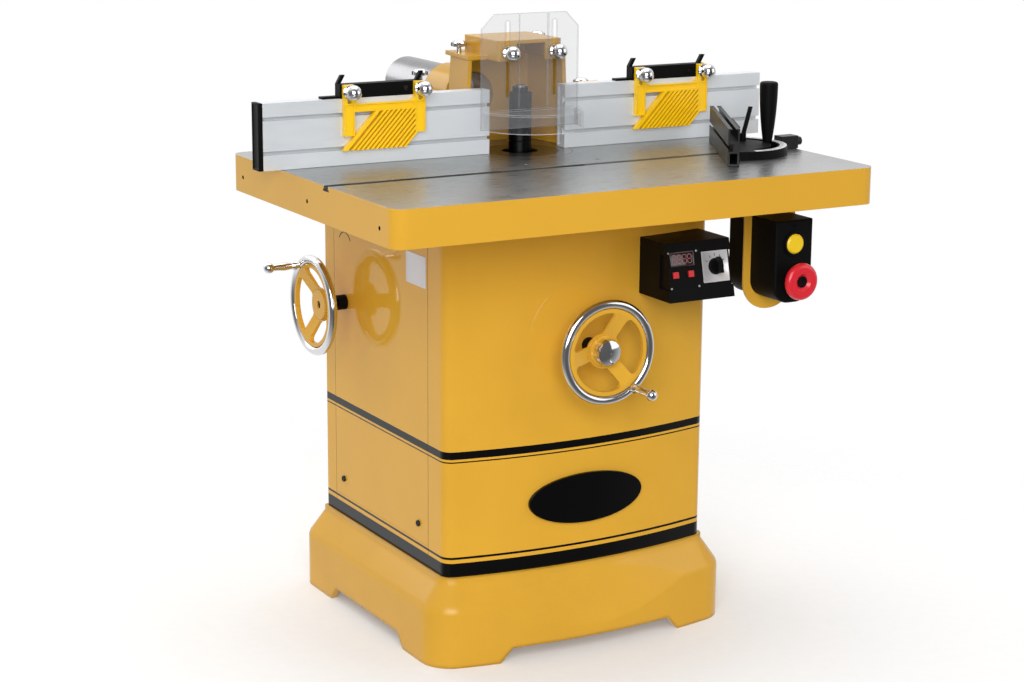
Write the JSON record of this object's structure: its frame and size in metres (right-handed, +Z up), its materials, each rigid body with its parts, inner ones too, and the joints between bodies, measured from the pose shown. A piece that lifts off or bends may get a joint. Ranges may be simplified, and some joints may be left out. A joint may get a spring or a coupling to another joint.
{
  "type": "spindle moulder",
  "caption": "Floor-standing spindle moulder: cast table on a cabinet, raisable spindle, split fence with hood and clear guard, featherboards, mitre gauge and handwheels.",
  "frame": {"origin": "on the floor, in the middle of the four anchor holes under the base", "axes": "+X to the operator's right along the table, +Y away from the operator, +Z up"},
  "size_m": [1.109, 0.9025, 1.197],
  "materials": {
    "gold_paint": "glossy mustard-gold enamel over cast iron and sheet steel",
    "table_iron": "ground grey top, painted edges",
    "dark_steel": "blackened steel",
    "bright_steel": "turned steel",
    "grey_iron": "as-cast grey",
    "pulley_alloy": "turned aluminium",
    "fence_alloy": "satin anodised extrusion",
    "chrome": "polished chrome plate",
    "black_plastic": "fine-textured black moulding",
    "badge_black": "gloss black, bare",
    "mitre_black": "black coated alloy",
    "belt_rubber": "ribbed black rubber",
    "feather_yellow": "strong yellow moulding",
    "clear_guard": "clear moulded sheet",
    "start_yellow": "yellow push button",
    "stop_red": "red mushroom button",
    "set_red": "red square keys"
  },
  "bodies": {
    "frame": {"base_casting": "gold_paint", "cabinet_shell": "gold_paint", "access_panel": "gold_paint", "badge_plate": "badge_black", "table": "table_iron", "insert_rings": "dark_steel", "quill_housing": "grey_iron", "shaft_bushes": "black_plastic", "motor_rails": "bright_steel", "control_box": "black_plastic", "switch_bracket": "gold_paint", "switch_housing": "black_plastic"},
    "front_wheel": {"front_shaft": "bright_steel", "front_wheel_spider": "gold_paint", "front_wheel_rim": "chrome"},
    "front_crank": {"front_handle": "chrome"},
    "wheel_lock": {"lock_knob": "chrome"},
    "quill_unit": {"quill": "bright_steel", "spindle_bearings": "bright_steel"},
    "spindle": {"spindle_shaft": "bright_steel", "spindle_collars": "dark_steel", "spindle_nut": "dark_steel"},
    "screw": {"lift_screw": "bright_steel"},
    "sleeve_pulley": {"spindle_pulley": "pulley_alloy"},
    "side_wheel": {"tension_screw": "dark_steel", "side_wheel_spider": "gold_paint", "side_wheel_rim": "chrome"},
    "side_crank": {"side_handle": "chrome"},
    "motor_unit": {"motor_plate": "grey_iron", "motor_body": "grey_iron", "drive_belt": "belt_rubber"},
    "rotor": {"motor_shaft": "bright_steel", "motor_pulley": "pulley_alloy"},
    "fence_carriage": {"hood": "gold_paint", "hood_lid": "gold_paint", "dust_pipe": "bright_steel", "star_knobs": "chrome", "guard_knobs": "chrome"},
    "left_fence": {"fence_board_left": "fence_alloy", "fence_bracket_left": "gold_paint", "feather_bracket_left": "black_plastic", "feather_knobs_left": "chrome"},
    "right_fence": {"fence_board_right": "fence_alloy", "fence_bracket_right": "gold_paint", "feather_bracket_right": "black_plastic", "feather_knobs_right": "chrome"},
    "left_feather": {"featherboard_left": "feather_yellow"},
    "right_feather": {"featherboard_right": "feather_yellow"},
    "guard": {"guard_plate": "clear_guard", "guard_visor": "clear_guard"},
    "mitre_carriage": {"mitre_bar": "mitre_black", "mitre_handle": "black_plastic"},
    "mitre_gauge": {"mitre_head": "mitre_black", "mitre_fence": "mitre_black"},
    "mitre_clamp": {"mitre_lever": "black_plastic"},
    "start": {"start_button": "start_yellow"},
    "stop": {"stop_button": "stop_red"},
    "selector": {"selector_knob": "black_plastic"},
    "set_left": {"set_button_left": "set_red"},
    "set_right": {"set_button_right": "set_red"}
  },
  "joints": [
    {"name": "front_wheel_turn", "type": "hinge", "parent": "frame", "child": "front_wheel", "pos_m": [0, -0.15, 0.595], "axis": [0, 1, 0], "range_deg": [-5040, 864]},
    {"name": "front_handle_spin", "type": "hinge", "parent": "front_wheel", "child": "front_crank", "pos_m": [0.0529, -0.3705, 0.52219], "axis": [0, 1, 0], "continuous": true},
    {"name": "lock_knob_turn", "type": "hinge", "parent": "front_wheel", "child": "wheel_lock", "pos_m": [0, -0.3705, 0.595], "axis": [0, 1, 0], "range_deg": [-270, 0]},
    {"name": "spindle_lift", "type": "slide", "parent": "frame", "child": "quill_unit", "axis": [0, 0, 1], "range_m": [-0.07, 0.012]},
    {"name": "screw_turn", "type": "hinge", "parent": "frame", "child": "screw", "pos_m": [0, -0.15, 0.595], "axis": [0, 0, 1], "range_deg": [-5040, 864]},
    {"name": "spindle_spin", "type": "hinge", "parent": "quill_unit", "child": "spindle", "pos_m": [0.008, -0.018, 0.79], "axis": [0, 0, 1], "continuous": true},
    {"name": "pulley_spin", "type": "hinge", "parent": "frame", "child": "sleeve_pulley", "pos_m": [0.008, -0.018, 0.5], "axis": [0, 0, 1], "continuous": true},
    {"name": "side_wheel_turn", "type": "hinge", "parent": "frame", "child": "side_wheel", "pos_m": [-0.358, 0.162, 0.617], "axis": [1, 0, 0], "range_deg": [-1800, 0]},
    {"name": "side_handle_spin", "type": "hinge", "parent": "side_wheel", "child": "side_crank", "pos_m": [-0.358, 0.21616, 0.68888], "axis": [1, 0, 0], "continuous": true},
    {"name": "motor_slide", "type": "slide", "parent": "frame", "child": "motor_unit", "axis": [1, 0, 0], "range_m": [-0.015, 0]},
    {"name": "motor_spin", "type": "hinge", "parent": "motor_unit", "child": "rotor", "pos_m": [0.182, -0.018, 0.55], "axis": [0, 0, 1], "continuous": true},
    {"name": "fence_slide", "type": "slide", "parent": "frame", "child": "fence_carriage", "axis": [0, 1, 0], "range_m": [-0.03, 0.002]},
    {"name": "left_fence_slide", "type": "slide", "parent": "fence_carriage", "child": "left_fence", "axis": [1, 0, 0], "range_m": [-0.012, 0.012]},
    {"name": "right_fence_slide", "type": "slide", "parent": "fence_carriage", "child": "right_fence", "axis": [1, 0, 0], "range_m": [-0.012, 0.012]},
    {"name": "left_feather_lift", "type": "slide", "parent": "left_fence", "child": "left_feather", "axis": [0, 0, 1], "range_m": [0, 0.017]},
    {"name": "right_feather_lift", "type": "slide", "parent": "right_fence", "child": "right_feather", "axis": [0, 0, 1], "range_m": [0, 0.017]},
    {"name": "guard_lift", "type": "slide", "parent": "fence_carriage", "child": "guard", "axis": [0, 0, 1], "range_m": [-0.045, 0.07]},
    {"name": "mitre_slide", "type": "slide", "parent": "frame", "child": "mitre_carriage", "axis": [1, 0, 0], "range_m": [-0.2, 0.15]},
    {"name": "mitre_swing", "type": "hinge", "parent": "mitre_carriage", "child": "mitre_gauge", "pos_m": [0.37, -0.2305, 0.935], "axis": [0, 0, 1], "range_deg": [-10, 88]},
    {"name": "mitre_lever_turn", "type": "hinge", "parent": "mitre_gauge", "child": "mitre_clamp", "pos_m": [0.41196, -0.19845, 0.95], "axis": [0, 0, 1], "range_deg": [-45, 45]},
    {"name": "start_press", "type": "slide", "parent": "frame", "child": "start", "axis": [0, 1, 0], "range_m": [0, 0.003], "stiffness_N_per_m": 600},
    {"name": "stop_press", "type": "slide", "parent": "frame", "child": "stop", "axis": [0, 1, 0], "range_m": [0, 0.005], "stiffness_N_per_m": 600},
    {"name": "selector_turn", "type": "hinge", "parent": "frame", "child": "selector", "pos_m": [0.223, -0.39147, 0.742], "axis": [0, 0.9747, -0.2236], "range_deg": [-60, 60]},
    {"name": "set_left_press", "type": "slide", "parent": "frame", "child": "set_left", "axis": [0, 0.9747, -0.2236], "range_m": [0, 0.002], "stiffness_N_per_m": 400},
    {"name": "set_right_press", "type": "slide", "parent": "frame", "child": "set_right", "axis": [0, 0.9747, -0.2236], "range_m": [0, 0.002], "stiffness_N_per_m": 400}
  ],
  "couplings": [
    {"joint": "spindle_lift", "follows": "front_wheel_turn", "m_per_rad": 0.00079577},
    {"joint": "screw_turn", "follows": "front_wheel_turn", "ratio": 1},
    {"joint": "motor_slide", "follows": "side_wheel_turn", "m_per_rad": 0.00047746},
    {"joint": "spindle_spin", "follows": "motor_spin", "ratio": 2.2368},
    {"joint": "pulley_spin", "follows": "motor_spin", "ratio": 2.2368}
  ]
}
